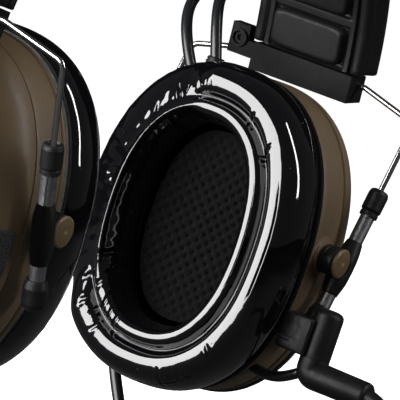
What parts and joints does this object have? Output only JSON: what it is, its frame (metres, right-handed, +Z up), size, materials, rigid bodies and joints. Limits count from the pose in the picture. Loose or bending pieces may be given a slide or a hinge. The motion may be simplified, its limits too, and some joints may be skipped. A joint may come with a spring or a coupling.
{
  "type": "communications headset",
  "caption": "Over-ear communications headset with sprung headband, gel cushioned cups on wire forks, boom microphone and radio lead.",
  "frame": {"origin": "midway between the two cup tilt axes, between the wearer's ears", "axes": "+X to the wearer's left (microphone side), -Y to the front, +Z up through the headband"},
  "size_m": [0.2454, 0.1771, 0.3857],
  "materials": {
    "moulding": "satin black moulding",
    "coyote": "satin coyote brown moulding",
    "coyote_cap": "satin coyote brown",
    "gel_film": "wet-look black film over gel",
    "black_gloss": "glossy black",
    "pads": "moulded comfort pads",
    "grip": "fine textured black rubber",
    "mesh": "dimpled air mesh over foam",
    "foam": "open cell foam",
    "steel": "polished spring wire",
    "screw": "blackened steel",
    "lead": "satin black lead",
    "board": "green circuit board",
    "cell": "plain cell wrap",
    "brass": "plated contacts"
  },
  "bodies": {
    "headband": {"headband_shell": "moulding", "headband_liner": "moulding", "headband_pads": "pads", "headband_spring": "steel", "left_end_block": "moulding", "right_end_block": "moulding", "end_block_screws": "screw", "crossover_lead": "lead", "lead_clips": "moulding"},
    "left_fork": {"left_fork_wire": "steel"},
    "right_fork": {"right_fork_wire": "steel"},
    "left_slider": {"left_slider_tubes": "moulding", "left_slider_collars": "moulding", "left_slider_caps": "moulding", "left_pivot_blocks": "moulding"},
    "right_slider": {"right_slider_tubes": "moulding", "right_slider_collars": "moulding", "right_slider_caps": "moulding", "right_pivot_blocks": "moulding"},
    "left_cup": {"left_pivot_buttons": "coyote_cap", "left_cup_shell": "coyote", "left_outer_cover": "coyote", "left_grip_panel": "grip", "left_seal_plate": "black_gloss", "left_cushion": "gel_film", "left_foam_liner": "mesh", "left_speaker": "moulding", "left_cover_screws": "screw", "left_ambient_mic": "moulding", "left_windscreen": "foam", "left_lead_gland": "moulding", "boom_bracket": "moulding", "mic_lead": "lead", "radio_lead": "lead", "plug_body": "moulding", "plug_contact": "brass"},
    "right_cup": {"right_pivot_buttons": "coyote_cap", "right_cup_shell": "coyote", "right_outer_cover": "coyote", "right_grip_panel": "grip", "right_seal_plate": "black_gloss", "right_cushion": "gel_film", "right_foam_liner": "mesh", "right_speaker": "moulding", "right_cover_screws": "screw", "right_ambient_mic": "moulding", "right_windscreen": "foam", "right_lead_gland": "moulding", "circuit_board": "board", "battery_tray": "moulding", "batteries": "cell", "battery_contacts": "brass"},
    "boom": {"boom_elbow": "moulding", "gooseneck": "moulding", "mic_capsule": "moulding", "mic_windscreen": "foam"},
    "door": {"battery_door": "coyote"},
    "key_up": {"volume_up_button": "grip"},
    "key_down": {"volume_down_button": "grip"},
    "key_power": {"power_button": "grip"}
  },
  "joints": [
    {"name": "left_fold", "type": "hinge", "parent": "headband", "child": "left_fork", "pos_m": [0.11413, 0, 0.05775], "axis": [0, -1, 0], "range_deg": [-3, 20]},
    {"name": "right_fold", "type": "hinge", "parent": "headband", "child": "right_fork", "pos_m": [-0.11413, 0, 0.05775], "axis": [0, 1, 0], "range_deg": [-3, 20]},
    {"name": "left_extend", "type": "slide", "parent": "left_fork", "child": "left_slider", "axis": [-0.309, 0, -0.9511], "range_m": [0, 0.024]},
    {"name": "right_extend", "type": "slide", "parent": "right_fork", "child": "right_slider", "axis": [0.309, 0, -0.9511], "range_m": [0, 0.024]},
    {"name": "left_tilt", "type": "hinge", "parent": "left_slider", "child": "left_cup", "pos_m": [0.088, 0, 0], "axis": [0, -1, 0], "range_deg": [-12, 3]},
    {"name": "right_tilt", "type": "hinge", "parent": "right_slider", "child": "right_cup", "pos_m": [-0.088, 0, 0], "axis": [0, 1, 0], "range_deg": [-12, 3]},
    {"name": "boom_swing", "type": "hinge", "parent": "left_cup", "child": "boom", "pos_m": [0.08113, -0.0565, -0.02478], "axis": [0.0349, 0, 0.9994], "range_deg": [-30, 75]},
    {"name": "battery_door_open", "type": "hinge", "parent": "right_cup", "child": "door", "pos_m": [-0.11207, 0, -0.02145], "axis": [0, -1, 0], "range_deg": [0, 100]},
    {"name": "volume_up_press", "type": "slide", "parent": "right_cup", "child": "key_up", "axis": [0.9994, 0, 0.0349], "range_m": [0, 0.001]},
    {"name": "volume_down_press", "type": "slide", "parent": "right_cup", "child": "key_down", "axis": [0.9994, 0, 0.0349], "range_m": [0, 0.001]},
    {"name": "power_press", "type": "slide", "parent": "right_cup", "child": "key_power", "axis": [0.9994, 0, 0.0349], "range_m": [0, 0.001]}
  ]
}
